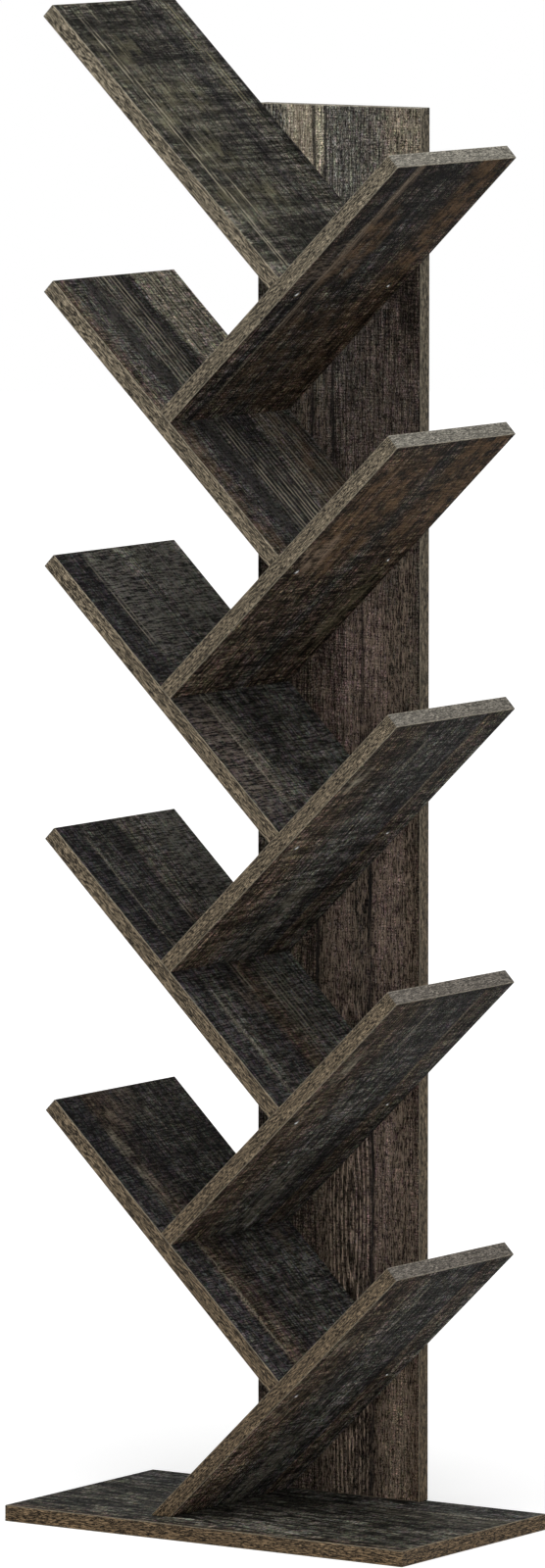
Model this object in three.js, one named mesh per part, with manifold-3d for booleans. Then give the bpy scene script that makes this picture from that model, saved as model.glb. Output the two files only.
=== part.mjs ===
// Tree shaped bookshelf. Ten slanted boards stand on each other in a zigzag, left and right by
// turns, in front of one upright back panel, and the lowest of them stands on a base board.
// Millimetres, +Z up. The open front faces -Y, and left and right are seen from the front.
// The origin is on the floor under the middle of the base board.

import * as THREE from 'three';
import { mergeVertices } from 'three/addons/utils/BufferGeometryUtils.js';
import Module from 'manifold-3d';

const wasm = await Module();
wasm.setup();

// Whole bookshelf
const OVERALL_HEIGHT = 1400; // floor to the upper end of the highest shelf
const SHELVES_PER_SIDE = 5;

// Shelf boards
const SHELF_SLOPE = THREE.MathUtils.degToRad(44); // up from the level
const SHELF_REACH = 184; // from the middle plane to a shelf's upper end
const SHELF_DEPTH = 195; // front edge to back edge
const SHELF_THICKNESS = 15;

// Back panel
const PANEL_WIDTH = 180;
const PANEL_THICKNESS = 15;
const PANEL_TUCK = 4; // its top corner lies this far under the highest shelf's upper face

// Base board
const BASE_WIDTH = 440;
const BASE_DEPTH = 240;
const BASE_THICKNESS = 15;

// Fits
const BOARD_GAP = 0.3; // between two boards that meet
const SCREW_CLEARANCE = 0.3; // around a screw in its hole
const CUT_OVERRUN = 5; // how far a cutting shape stands out of the face that it cuts

// Countersunk screws with a hexagon socket, sunk a little below the face
const SCREW_SINK = 0.4;
const SCREW_HEAD_RIM = 0.6; // straight edge of the head above its cone
const SCREW_TIP_LENGTH = 3;
const SCREW_SIDES = 12;
const SOCKET_SIDES = 6;

// Assembly screws, which hold shelf to shelf, panel to shelf and base to panel
const ASSEMBLY_SCREW_DIAMETER = 5;
const ASSEMBLY_HEAD_DIAMETER = 8;
const ASSEMBLY_SOCKET_WIDTH = 3; // across flats
const ASSEMBLY_SOCKET_DEPTH = 2.2;
const ASSEMBLY_SCREW_BITE = 25; // past the board that the screw goes through

const JOINT_SCREW_INSET = 22.5; // from the front and back edges of the shelves
const PANEL_SCREW_INSET = 16; // from the ends of the free stretch of a shelf
const BASE_SCREW_INSET = 25; // from the panel's sides
const BASE_SCREW_COUNT = 3;

// Foot screws, which hold the base to the lowest shelf
const FOOT_SCREW_DIAMETER = 4;
const FOOT_HEAD_DIAMETER = 7;
const FOOT_SOCKET_WIDTH = 2.5; // across flats
const FOOT_SOCKET_DEPTH = 1.8;
const FOOT_SCREW_BITE = 10; // length inside the shelf's slanted foot

// Heights: the ends of one side's shelves are a pitch apart, the right side's lie half a pitch
// lower than the left side's, and the lowest of all stands one pitch above the base
const PITCH = (OVERALL_HEIGHT - BASE_THICKNESS) / (SHELVES_PER_SIDE + 1 / 2);
const SHELF_FALL_TO_PANEL = (SHELF_REACH - PANEL_WIDTH / 2) * Math.tan(SHELF_SLOPE);
const PANEL_TOP = OVERALL_HEIGHT - SHELF_FALL_TO_PANEL - PANEL_TUCK;

// Depths: the panel's back face is flush with the back edge of the base
const BACK_Y = BASE_DEPTH / 2;
const PANEL_FRONT_Y = BACK_Y - PANEL_THICKNESS;
const SHELF_MID_Y = PANEL_FRONT_Y - BOARD_GAP - SHELF_DEPTH / 2;

// Lengths along a shelf's slope, from its upper end: a left and a right shelf meet this far
// from the middle plane, where the foot of one stands on the upper face of the other
const MEETING_ANGLE = 2 * SHELF_SLOPE;
const LENGTH_TO_MIDDLE = SHELF_REACH / Math.cos(SHELF_SLOPE);
const MEETING_OFFSET = PITCH / (4 * Math.sin(SHELF_SLOPE));
const FOOT_THICKNESS = SHELF_THICKNESS / Math.sin(MEETING_ANGLE);
const FOOT_START = LENGTH_TO_MIDDLE - MEETING_OFFSET;
const FOOT_MIDDLE = FOOT_START + FOOT_THICKNESS / 2;
const SHELF_LENGTH = LENGTH_TO_MIDDLE + MEETING_OFFSET - BOARD_GAP / Math.sin(MEETING_ANGLE);
const LOWEST_SHELF_LENGTH = (PITCH - BOARD_GAP) / Math.sin(SHELF_SLOPE);

// Colours of the dark weathered wood decor and of the black screws
const SHELF_FINISH = { color: 0x3f3c36, roughness: 0.62, metalness: 0 };
const PANEL_FINISH = { color: 0x494342, roughness: 0.66, metalness: 0 };
const BASE_FINISH = { color: 0x3b3833, roughness: 0.6, metalness: 0 };
const SCREW_FINISH = { color: 0x2a2a2b, roughness: 0.38, metalness: 0.9 };

const ASSEMBLY_SCREW = {
  diameter: ASSEMBLY_SCREW_DIAMETER,
  headDiameter: ASSEMBLY_HEAD_DIAMETER,
  socketWidth: ASSEMBLY_SOCKET_WIDTH,
  socketDepth: ASSEMBLY_SOCKET_DEPTH,
};

const FOOT_SCREW = {
  diameter: FOOT_SCREW_DIAMETER,
  headDiameter: FOOT_HEAD_DIAMETER,
  socketWidth: FOOT_SOCKET_WIDTH,
  socketDepth: FOOT_SOCKET_DEPTH,
};

function meshNamed(name, geometry, finish) {
  const material = new THREE.MeshStandardMaterial({ ...finish, flatShading: true });
  const mesh = new THREE.Mesh(geometry, material);
  mesh.name = name;
  return mesh;
}

// A closed solid made from a geometry, its doubled corners merged and its empty triangles dropped
function toSolid(geometry) {
  const bare = geometry.clone();
  bare.deleteAttribute('normal');
  bare.deleteAttribute('uv');
  const merged = mergeVertices(bare);
  const index = merged.index.array;
  const triangles = [];
  for (let first = 0; first < index.length; first += 3) {
    const [a, b, c] = index.slice(first, first + 3);
    if (a !== b && b !== c && c !== a) {
      triangles.push(a, b, c);
    }
  }
  return new wasm.Manifold(new wasm.Mesh({
    numProp: 3,
    vertProperties: new Float32Array(merged.attributes.position.array),
    triVerts: new Uint32Array(triangles),
  }));
}

function toGeometry(solid) {
  const mesh = solid.getMesh();
  const geometry = new THREE.BufferGeometry();
  geometry.setAttribute('position', new THREE.BufferAttribute(mesh.vertProperties, mesh.numProp));
  geometry.setIndex(new THREE.BufferAttribute(mesh.triVerts, 1));
  geometry.computeVertexNormals();
  return geometry;
}

// A screw turned about Z, with the top of its head at the origin and its tip up at its length.
// With a clearance it is the hole that the screw sits in, open for some way above the head.
function screwBody(screw, length, clearance, opening) {
  const headRadius = screw.headDiameter / 2 + clearance;
  const shankRadius = screw.diameter / 2 + clearance;
  const coneEnd = SCREW_HEAD_RIM + (screw.headDiameter - screw.diameter) / 2;
  const profile = [
    new THREE.Vector2(0, -opening),
    new THREE.Vector2(headRadius, -opening),
    new THREE.Vector2(headRadius, SCREW_HEAD_RIM),
    new THREE.Vector2(shankRadius, coneEnd),
    new THREE.Vector2(shankRadius, length - SCREW_TIP_LENGTH),
    new THREE.Vector2(0, length + clearance),
  ];
  return new THREE.LatheGeometry(profile, SCREW_SIDES).rotateX(Math.PI / 2);
}

function screwSocket(screw) {
  const radius = screw.socketWidth / 2 / Math.cos(Math.PI / SOCKET_SIDES);
  const height = screw.socketDepth + CUT_OVERRUN;
  return new THREE.CylinderGeometry(radius, radius, height, SOCKET_SIDES)
    .rotateX(Math.PI / 2)
    .translate(0, 0, screw.socketDepth - height / 2);
}

// One screw of the given length, carrying the shape of the hole that it needs
function makeScrew(name, screw, length) {
  const solid = toSolid(screwBody(screw, length, 0, 0)).subtract(toSolid(screwSocket(screw)));
  const mesh = meshNamed(name, toGeometry(solid), SCREW_FINISH);
  mesh.userData.hole = screwBody(screw, length, SCREW_CLEARANCE, SCREW_SINK + CUT_OVERRUN);
  return mesh;
}

// A shelf board in its own frame: the origin is at the middle of its upper end's top edge,
// +X runs down its slope and +Z points out of its upper face. The upper end is cut square, and
// the foot is cut to lie flat on a face that meets the shelf at the given angle.
function makeShelf(name, length, footAngle) {
  const outline = new THREE.Shape([
    new THREE.Vector2(0, 0),
    new THREE.Vector2(0, -SHELF_THICKNESS),
    new THREE.Vector2(length - SHELF_THICKNESS / Math.tan(footAngle), -SHELF_THICKNESS),
    new THREE.Vector2(length, 0),
  ]);
  const geometry = new THREE.ExtrudeGeometry(outline, { depth: SHELF_DEPTH, bevelEnabled: false })
    .translate(0, 0, -SHELF_DEPTH / 2)
    .rotateX(Math.PI / 2);
  return meshNamed(name, geometry, SHELF_FINISH);
}

// The two screws that go up through a shelf into the foot that stands on it. The shelf's back
// is at its own +Y where backward is 1 and at its own -Y where it is -1.
function makeJointScrews(shelfName, backward) {
  return [['front', -backward], ['rear', backward]].map(([place, end]) => {
    const name = `joint_screw_${shelfName}_${place}`;
    const screw = makeScrew(name, ASSEMBLY_SCREW, SHELF_THICKNESS + ASSEMBLY_SCREW_BITE);
    screw.position.set(
      FOOT_MIDDLE,
      end * (SHELF_DEPTH / 2 - JOINT_SCREW_INSET),
      SCREW_SINK - SHELF_THICKNESS,
    );
    return screw;
  });
}

// The two screws through the back panel into a shelf's back edge. They stand near the ends of
// the stretch from the foot that stands on the shelf to the tips of the screws at its own foot.
function makePanelScrews(shelfName, stretchEnd, backward) {
  const upper = FOOT_START + FOOT_THICKNESS + PANEL_SCREW_INSET;
  const lower = stretchEnd - PANEL_SCREW_INSET;
  return [['upper', upper], ['lower', lower]].map(([place, distance]) => {
    const name = `panel_screw_${shelfName}_${place}`;
    const screw = makeScrew(name, ASSEMBLY_SCREW, PANEL_THICKNESS + ASSEMBLY_SCREW_BITE);
    screw.position.set(
      distance,
      backward * (BACK_Y - SCREW_SINK - SHELF_MID_Y),
      -SHELF_THICKNESS / 2,
    );
    screw.rotation.x = backward * Math.PI / 2;
    return screw;
  });
}

// One side's shelf, counted from the top, with the screws through it and into its back edge.
// A right shelf is a left shelf turned half round, so its back is at its own -Y.
function makeShelfGroup(side, number) {
  const left = side === 'left';
  const highest = left && number === 1;
  const lowest = !left && number === SHELVES_PER_SIDE;
  const length = lowest ? LOWEST_SHELF_LENGTH : SHELF_LENGTH;
  const footAngle = lowest ? SHELF_SLOPE : MEETING_ANGLE;
  const biteAlongSlope = lowest
    ? ASSEMBLY_SCREW_BITE / Math.sin(SHELF_SLOPE)
    : ASSEMBLY_SCREW_BITE;
  const backward = left ? 1 : -1;
  const shelfName = `${side}_${number}`;
  const group = new THREE.Group();
  group.position.set(
    left ? -SHELF_REACH : SHELF_REACH,
    SHELF_MID_Y,
    OVERALL_HEIGHT - PITCH * (number - (left ? 1 : 1 / 2)),
  );
  group.rotation.set(0, SHELF_SLOPE, left ? 0 : Math.PI, 'ZYX');
  group.add(makeShelf(`shelf_${shelfName}`, length, footAngle));
  group.add(...makePanelScrews(shelfName, length - biteAlongSlope, backward));
  if (!highest) {
    group.add(...makeJointScrews(shelfName, backward));
  }
  return group;
}

function makeBase() {
  const geometry = new THREE.BoxGeometry(BASE_WIDTH, BASE_DEPTH, BASE_THICKNESS);
  const base = meshNamed('base_board', geometry, BASE_FINISH);
  base.position.z = BASE_THICKNESS / 2;
  return base;
}

function makePanel() {
  const foot = BASE_THICKNESS + BOARD_GAP;
  const geometry = new THREE.BoxGeometry(PANEL_WIDTH, PANEL_THICKNESS, PANEL_TOP - foot);
  const panel = meshNamed('back_panel', geometry, PANEL_FINISH);
  panel.position.set(0, BACK_Y - PANEL_THICKNESS / 2, (PANEL_TOP + foot) / 2);
  return panel;
}

// The screws up through the base into the panel's lower edge
function makeBaseScrews() {
  const span = PANEL_WIDTH - 2 * BASE_SCREW_INSET;
  return Array.from({ length: BASE_SCREW_COUNT }, (_, place) => {
    const name = `base_screw_panel_${place + 1}`;
    const screw = makeScrew(name, ASSEMBLY_SCREW, BASE_THICKNESS + ASSEMBLY_SCREW_BITE);
    const x = span * (place / (BASE_SCREW_COUNT - 1) - 1 / 2);
    screw.position.set(x, BACK_Y - PANEL_THICKNESS / 2, SCREW_SINK);
    return screw;
  });
}

// The screws up through the base into the lowest shelf's slanted foot. They stand midway
// between its lower face at the base and its upper face at their tips.
function makeFootScrews() {
  const upperFaceAtBase = SHELF_REACH - PITCH / Math.tan(SHELF_SLOPE);
  const lowerFaceAtBase = upperFaceAtBase + SHELF_THICKNESS / Math.sin(SHELF_SLOPE);
  const upperFaceAtTip = upperFaceAtBase + FOOT_SCREW_BITE / Math.tan(SHELF_SLOPE);
  return [['front', -1], ['rear', 1]].map(([place, end]) => {
    const name = `base_screw_foot_${place}`;
    const screw = makeScrew(name, FOOT_SCREW, BASE_THICKNESS + FOOT_SCREW_BITE);
    screw.position.set(
      (lowerFaceAtBase + upperFaceAtTip) / 2,
      SHELF_MID_Y + end * (SHELF_DEPTH / 2 - JOINT_SCREW_INSET),
      SCREW_SINK,
    );
    return screw;
  });
}

// Cuts the hole of every screw that reaches a board into that board
function drillBoard(board, screws) {
  const boardSpace = new THREE.Box3().setFromObject(board);
  const toBoard = board.matrixWorld.clone().invert();
  let solid = toSolid(board.geometry);
  for (const screw of screws) {
    if (boardSpace.intersectsBox(new THREE.Box3().setFromObject(screw))) {
      const toScrew = toBoard.clone().multiply(screw.matrixWorld);
      solid = solid.subtract(toSolid(screw.userData.hole.clone().applyMatrix4(toScrew)));
    }
  }
  board.geometry = toGeometry(solid);
}

function makeBookshelf() {
  const bookshelf = new THREE.Group();
  bookshelf.name = 'tree_bookshelf';
  bookshelf.add(makeBase(), makePanel(), ...makeBaseScrews(), ...makeFootScrews());
  for (let number = 1; number <= SHELVES_PER_SIDE; number += 1) {
    bookshelf.add(makeShelfGroup('left', number), makeShelfGroup('right', number));
  }
  bookshelf.updateMatrixWorld(true);
  const meshes = [];
  bookshelf.traverse((object) => {
    if (object.isMesh) {
      meshes.push(object);
    }
  });
  const screws = meshes.filter((mesh) => mesh.userData.hole);
  const boards = meshes.filter((mesh) => !mesh.userData.hole);
  for (const board of boards) {
    drillBoard(board, screws);
  }
  for (const screw of screws) {
    delete screw.userData.hole;
  }
  return bookshelf;
}

export default makeBookshelf();
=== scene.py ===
"""Tree shaped bookshelf of twelve laminated boards and forty-three black screws.

Ten slanted shelves stand on each other in a zigzag in front of one upright back panel, and the
lowest of them stands on a base board. Metres, +Z up, the open front faces -Y, and the origin is
on the floor under the middle of the base board.
"""
import math

import bmesh
import bpy
from bpy.props import FloatProperty, FloatVectorProperty, IntProperty, PointerProperty
from mathutils import Matrix, Vector


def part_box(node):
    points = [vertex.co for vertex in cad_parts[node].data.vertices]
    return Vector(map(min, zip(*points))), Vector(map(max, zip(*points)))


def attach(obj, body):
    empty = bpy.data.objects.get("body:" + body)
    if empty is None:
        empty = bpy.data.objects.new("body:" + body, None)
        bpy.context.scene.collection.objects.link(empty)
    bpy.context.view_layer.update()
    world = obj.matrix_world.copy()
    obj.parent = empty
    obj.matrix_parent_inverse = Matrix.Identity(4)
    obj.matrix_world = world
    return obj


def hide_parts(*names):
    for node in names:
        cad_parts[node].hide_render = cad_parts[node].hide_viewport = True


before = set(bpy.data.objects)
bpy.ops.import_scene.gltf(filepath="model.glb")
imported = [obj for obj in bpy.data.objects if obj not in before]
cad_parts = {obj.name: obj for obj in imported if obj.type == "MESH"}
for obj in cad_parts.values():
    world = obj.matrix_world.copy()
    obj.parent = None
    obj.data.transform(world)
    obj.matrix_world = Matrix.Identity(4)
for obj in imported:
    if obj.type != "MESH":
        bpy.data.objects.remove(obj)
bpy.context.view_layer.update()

bl_info = {
    "name": "Tree Bookshelf",
    "version": (1, 0, 0),
    "blender": (4, 5, 0),
    "location": "3D Viewport > Sidebar > Bookshelf",
    "description": "Builds a tree shaped bookshelf of laminated boards, board by board",
    "category": "Add Mesh",
}

MM = 0.001


def linear(hex_colour):
    """An sRGB hex colour as the linear red, green and blue that Blender works in."""
    channels = [int(hex_colour[i:i + 2], 16) / 255 for i in (1, 3, 5)]
    return tuple(c / 12.92 if c <= 0.04045 else ((c + 0.055) / 1.055) ** 2.4 for c in channels)


def length(name, description, millimetres):
    """A size that a user can change, given in millimetres and kept in metres."""
    return FloatProperty(name=name, description=description, default=millimetres * MM,
                         min=0.0, precision=4, unit="LENGTH")


def colour(name, description, hex_colour):
    """A colour that a user can change."""
    return FloatVectorProperty(name=name, description=description, default=linear(hex_colour),
                               min=0.0, max=1.0, size=3, subtype="COLOR")


class BoardSizes(bpy.types.PropertyGroup):
    """Sizes of the boards, the same as the frame's."""

    height: length("Overall height", "Floor to the upper end of the highest shelf", 1400)
    per_side: IntProperty(name="Shelves per side", description="Shelves on each side",
                          default=5, min=1)
    slope: FloatProperty(name="Shelf slope", description="Slope of a shelf up from the level",
                         default=math.radians(44), subtype="ANGLE", unit="ROTATION")
    reach: length("Shelf reach", "Middle plane to the upper end of a shelf", 184)
    depth: length("Shelf depth", "Front edge to back edge of a shelf", 195)
    thickness: length("Board thickness", "Thickness of every board", 15)
    panel_width: length("Panel width", "Width of the back panel", 180)
    panel_tuck: length("Panel tuck", "Depth of the panel's top corner under the highest shelf", 4)
    base_width: length("Base width", "Width of the base board", 440)
    base_depth: length("Base depth", "Depth of the base board", 240)
    gap: length("Board gap", "Gap between two boards that meet", 0.3)
    arris: length("Arris", "Rounding along the trimmed edge banding", 0.6)


class ScrewSizes(bpy.types.PropertyGroup):
    """Sizes of the countersunk screws and of the holes they sit in."""

    shank: length("Shank diameter", "Outer thread diameter of an assembly screw", 5)
    head: length("Head diameter", "Head diameter of an assembly screw", 8)
    socket: length("Socket width", "Width across flats of an assembly screw's socket", 3)
    socket_depth: length("Socket depth", "Depth of an assembly screw's socket", 2.2)
    long: length("Screw length", "Length of an assembly screw", 40)
    foot_shank: length("Foot shank diameter", "Outer thread diameter of a foot screw", 4)
    foot_head: length("Foot head diameter", "Head diameter of a foot screw", 7)
    foot_socket: length("Foot socket width", "Width across flats of a foot screw's socket", 2.5)
    foot_socket_depth: length("Foot socket depth", "Depth of a foot screw's socket", 1.8)
    foot_long: length("Foot screw length", "Length of a foot screw", 25)
    rim: length("Head rim", "Straight edge of a head above its cone", 0.6)
    tip: length("Tip length", "Length of a screw's point", 3)
    pitch: length("Thread pitch", "Distance from thread to thread", 2.2)
    clearance: length("Clearance", "Space around a screw in its hole", 0.3)


class DecorColours(bpy.types.PropertyGroup):
    """Colours of the printed wood decor, its edge banding, the board's core and the screws."""

    charcoal: colour("Charcoal", "Main tone of the decor", "#3c3a36")
    night: colour("Night", "Darkest planks of the decor", "#2d2b2a")
    # Soot is also painted shadow on the panel, just under each right shelf
    soot: colour("Soot", "Blackened front planks of the decor", "#1f1e1e")
    slate: colour("Slate", "Grey planks of the decor", "#474643")
    moss: colour("Green grey", "Greenish planks of the decor", "#43413a")
    umber: colour("Umber", "Brown planks of the decor", "#40372e")
    plum: colour("Plum brown", "Purplish brown planks of the panel", "#41372f")
    mauve: colour("Mauve grey", "Pinkish grey planks of the panel", "#6a5b56")
    # Ash is also painted light on the middle of the base, where the shelves shade it
    ash: colour("Ash", "Palest grey planks of the decor", "#6a6760")
    rust: colour("Rust", "Worn brown patches of the decor", "#66503a")
    tan: colour("Tan", "Pale brown fibres of the decor", "#938271")
    olive: colour("Olive tan", "Worn patches and seams of the decor", "#827c62")
    pale: colour("Pale line", "Fine pale fibres of the decor", "#9c9482")
    band_high: colour("Banding, high", "Edge banding of the upper shelves", "#6e6657")
    band_low: colour("Banding, low", "Edge banding of the lower shelves", "#605240")
    band_end: colour("Banding, ends", "Edge banding of the shelves' upper ends", "#807c72")
    band_end_low: colour("Banding, low ends", "Edge banding of the lower shelves' ends",
                         "#6c665e")
    band_base: colour("Banding, base", "Edge banding of the base board", "#604f3a")
    core: colour("Core", "Pressed chips inside the boards", "#6e5b44")
    steel: colour("Black steel", "Blackened steel of the screws", "#4c4c4e")
    worn: colour("Worn steel", "Bright rim where a key has worn a screw's socket", "#a2a29f")


class StageSettings(bpy.types.PropertyGroup):
    """The camera, the lamps and the floor."""

    turn: FloatProperty(name="Camera turn", description="How far the camera stands to the right",
                        default=math.radians(34.10), subtype="ANGLE", unit="ROTATION")
    rise: FloatProperty(name="Camera rise", description="How far the camera looks down",
                        default=math.radians(6.20), subtype="ANGLE", unit="ROTATION")
    distance: length("Camera distance", "Camera to the point it looks at", 10873.7)
    aim: FloatVectorProperty(name="Camera aim", description="The point the camera looks at",
                             default=(-0.0737, 0.105, 0.6741), size=3, subtype="TRANSLATION",
                             unit="LENGTH")
    lens: FloatProperty(name="Focal length", description="On a sensor 36 mm along its long side",
                        default=269.23, unit="CAMERA")
    sky: FloatProperty(name="Room light", description="Strength of the even white room",
                       default=0.42, min=0.0)
    key: FloatProperty(name="Key lamp", description="Power of the soft lamp above the front",
                       default=32.0, min=0.0, unit="POWER")
    top: FloatProperty(name="Top lamp", description="Power of the soft lamp overhead",
                       default=44.0, min=0.0, unit="POWER")
    fill: FloatProperty(name="Fill lamp", description="Power of the low lamp in front",
                        default=16.0, min=0.0, unit="POWER")
    floor: colour("Floor", "Plain pale floor", "#dedede")


class BookshelfSettings(bpy.types.PropertyGroup):
    """All that a user can change."""

    boards: PointerProperty(type=BoardSizes, name="Boards", description="Sizes of the boards")
    screws: PointerProperty(type=ScrewSizes, name="Screws", description="Sizes of the screws")
    colours: PointerProperty(type=DecorColours, name="Colours", description="Finishes")
    stage: PointerProperty(type=StageSettings, name="Stage", description="Camera and lamps")


def settings():
    """The sizes, colours and stage values of this scene."""
    return bpy.context.scene.tree_bookshelf


# Places of the boards

def shelf_pitch(b):
    """Height from one shelf to the next on the same side."""
    return (b.height - b.thickness) / (b.per_side + 0.5)


def panel_top(b):
    """Height of the panel's top edge, just under the highest shelf."""
    return b.height - (b.reach - b.panel_width / 2) * math.tan(b.slope) - b.panel_tuck


def shelf_middle(b):
    """How far back the middle of every shelf lies."""
    return b.base_depth / 2 - b.thickness - b.gap - b.depth / 2


def shelf_length(b, lowest):
    """Length of a shelf's upper face, from its upper end to the board that it stands on."""
    if lowest:
        return (shelf_pitch(b) - b.gap) / math.sin(b.slope)
    to_middle = b.reach / math.cos(b.slope)
    return to_middle + shelf_pitch(b) / (4 * math.sin(b.slope)) - b.gap / math.sin(2 * b.slope)


def shelf_place(b, side, number):
    """From a shelf's own frame, +X down its slope and +Z out of its upper face, to the room."""
    left = side == "left"
    at = Vector((-b.reach if left else b.reach, shelf_middle(b),
                 b.height - shelf_pitch(b) * (number - (1 if left else 0.5))))
    return (Matrix.Translation(at) @ Matrix.Rotation(0 if left else math.pi, 4, "Z")
            @ Matrix.Rotation(b.slope, 4, "Y"))


# The screws that go up through the base
BASE_TO_PANEL = [f"base_screw_panel_{i}" for i in (1, 2, 3)]
BASE_TO_SHELF = ["base_screw_foot_front", "base_screw_foot_rear"]


def shelf_screws(side, number, b):
    """The names of the screws that reach into one shelf."""
    name = f"{side}_{number}"
    through = [f"joint_screw_{name}_{end}" for end in ("front", "rear")]
    panel = [f"panel_screw_{name}_{end}" for end in ("upper", "lower")]
    below = f"right_{number}" if side == "left" else f"left_{number + 1}"
    into_foot = [f"joint_screw_{below}_{end}" for end in ("front", "rear")]
    if side == "right" and number == b.per_side:
        into_foot = BASE_TO_SHELF
    if side == "left" and number == 1:
        through = []
    return through + panel + into_foot


# Modelling

def deselect_all():
    """Back to object mode with nothing selected."""
    if bpy.context.mode != "OBJECT":
        bpy.ops.object.mode_set(mode="OBJECT")
    bpy.ops.object.select_all(action="DESELECT")


def work_on(*objects):
    """Selects only these objects and makes the first one active."""
    deselect_all()
    for item in objects:
        item.select_set(True)
    bpy.context.view_layer.objects.active = objects[0]


def settle(piece, place=None):
    """Puts a piece's place into its mesh, so that the object is at the origin, unturned."""
    if place is not None:
        piece.matrix_world = place
    work_on(piece)
    bpy.ops.object.transform_apply(location=True, rotation=True, scale=True)


def start(name):
    """Names and settles the primitive that was just added."""
    piece = bpy.context.active_object
    piece.name = piece.data.name = name
    settle(piece)
    return piece


def select_edges(piece, test):
    """In edit mode, selects the edges that pass a test."""
    bpy.ops.mesh.select_mode(type="EDGE")
    bpy.ops.mesh.select_all(action="DESELECT")
    mesh = bmesh.from_edit_mesh(piece.data)
    mesh.normal_update()
    for edge in mesh.edges:
        if test(edge):
            edge.select_set(True)
    mesh.select_flush_mode()
    bmesh.update_edit_mesh(piece.data)


def add_slots(piece, count, index=0):
    """Gives a piece empty material slots, with all its faces in one of them."""
    for _ in range(count):
        piece.data.materials.append(None)
    for face in piece.data.polygons:
        face.material_index = index


def copy_of(piece, name, place):
    """A copy with its own mesh, moved to its place."""
    twin = piece.copy()
    twin.data = piece.data.copy()
    twin.name = twin.data.name = name
    bpy.context.scene.collection.objects.link(twin)
    settle(twin, place)
    return twin


def remove(piece):
    """Deletes a model or a cutter that has done its work."""
    mesh = piece.data
    bpy.data.objects.remove(piece)
    bpy.data.meshes.remove(mesh)


def apply_modifier(piece, kind, **values):
    """Adds a modifier with its settings and applies it."""
    work_on(piece)
    modifier = piece.modifiers.new(kind.title(), kind)
    for key, value in values.items():
        setattr(modifier, key, value)
    bpy.ops.object.modifier_apply(modifier=modifier.name)


def cut(piece, cutter):
    """Cuts a shape out of a piece. The new walls keep the cutter's material slot."""
    apply_modifier(piece, "BOOLEAN", operation="DIFFERENCE", solver="EXACT", object=cutter,
                   material_mode="INDEX")
    remove(cutter)


# Material slots of a board and of a screw, in order
TOP, UNDERSIDE, BANDING, CORE = range(4)
BLACKENED, WORN = range(2)
# The cosine past which a face counts as facing one way, and the steps of a rounded arris
FACING = 0.999
ARRIS_STEPS = 3
# Points this close are merged
SAME_POINT = 0.0001 * MM


def sawn_board(name, size, arris, foot_angle=None):
    """A board with its upper end's top edge at the origin, +X along it and +Z out of its top.

    Both large faces get a decor, the edges are banded and lightly rounded where the banding is
    trimmed, and a foot, if the board has one, is cut raw at an angle.
    """
    board_length, depth, thickness = size
    deselect_all()
    bpy.ops.mesh.primitive_cube_add(size=1, location=(board_length / 2, 0, -thickness / 2),
                                    scale=(board_length, depth, thickness))
    piece = start(name)
    add_slots(piece, 4)
    bpy.ops.object.mode_set(mode="EDIT")
    foot_normal = None
    if foot_angle is not None:
        foot_normal = Vector((math.sin(foot_angle), 0, -math.cos(foot_angle)))
        bpy.ops.mesh.select_all(action="SELECT")
        bpy.ops.mesh.bisect(plane_co=(board_length, 0, 0), plane_no=foot_normal,
                            use_fill=True, clear_outer=True)

    def is_foot(face):
        return foot_normal is not None and face.normal.dot(foot_normal) > FACING

    select_edges(piece, lambda edge: not any(is_foot(face) for face in edge.link_faces))
    bpy.ops.mesh.bevel(offset=arris, offset_type="OFFSET", segments=ARRIS_STEPS, affect="EDGES")
    mesh = bmesh.from_edit_mesh(piece.data)
    mesh.normal_update()
    for face in mesh.faces:
        if face.normal.z > FACING:
            face.material_index = TOP
        elif face.normal.z < -FACING:
            face.material_index = UNDERSIDE
        else:
            face.material_index = CORE if is_foot(face) else BANDING
    bmesh.update_edit_mesh(piece.data)
    bpy.ops.object.mode_set(mode="OBJECT")
    return piece


def turned_blank(name, stations, sides):
    """A turned shape along +Z: a disc is extruded and drawn to each radius in turn."""
    (first_z, first_radius), *rest = stations
    deselect_all()
    bpy.ops.mesh.primitive_circle_add(vertices=sides, radius=first_radius, fill_type="NGON",
                                      location=(0, 0, first_z))
    piece = start(name)
    bpy.ops.object.mode_set(mode="EDIT")
    bpy.ops.mesh.select_all(action="SELECT")
    z, radius = first_z, first_radius
    for next_z, next_radius in rest:
        bpy.ops.mesh.extrude_region_move(TRANSFORM_OT_translate={"value": (0, 0, next_z - z)})
        drawn = next_radius / radius
        bpy.ops.transform.resize(value=(drawn, drawn, 1), center_override=(0, 0, next_z))
        z, radius = next_z, next_radius
    bpy.ops.mesh.select_all(action="SELECT")
    bpy.ops.mesh.remove_doubles(threshold=SAME_POINT)
    bpy.ops.mesh.normals_make_consistent(inside=False)
    bpy.ops.object.mode_set(mode="OBJECT")
    return piece


# Sides of a turned shape and of a socket
ROUND = 32
HEXAGON = 6
# A screw's thread: its depth, the plain neck above it, where its root lies in each pitch, as
# shares, and the radius at the screw's very tip
THREAD_DEPTH = 0.6 * MM
PLAIN_NECK = 1.2 * MM
ROOT_SHARES = (0.35, 0.75)
TIP_RADIUS = 0.3 * MM
# The bevel round a head's top, and the cone that keys wear round its socket's mouth
HEAD_BEVEL = 0.25 * MM
MOUTH_DEPTH = 0.7 * MM
MOUTH_FLARE = 1.6 * MM
MOUTH_OVERLAP = 0.1 * MM
# How far a socket's cutter and a hole run on above the head, and the radius at a hole's bottom
OVERRUN = 1 * MM
HOLE_OVERRUN = 5.4 * MM
HOLE_TIP_RADIUS = 0.2 * MM


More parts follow.
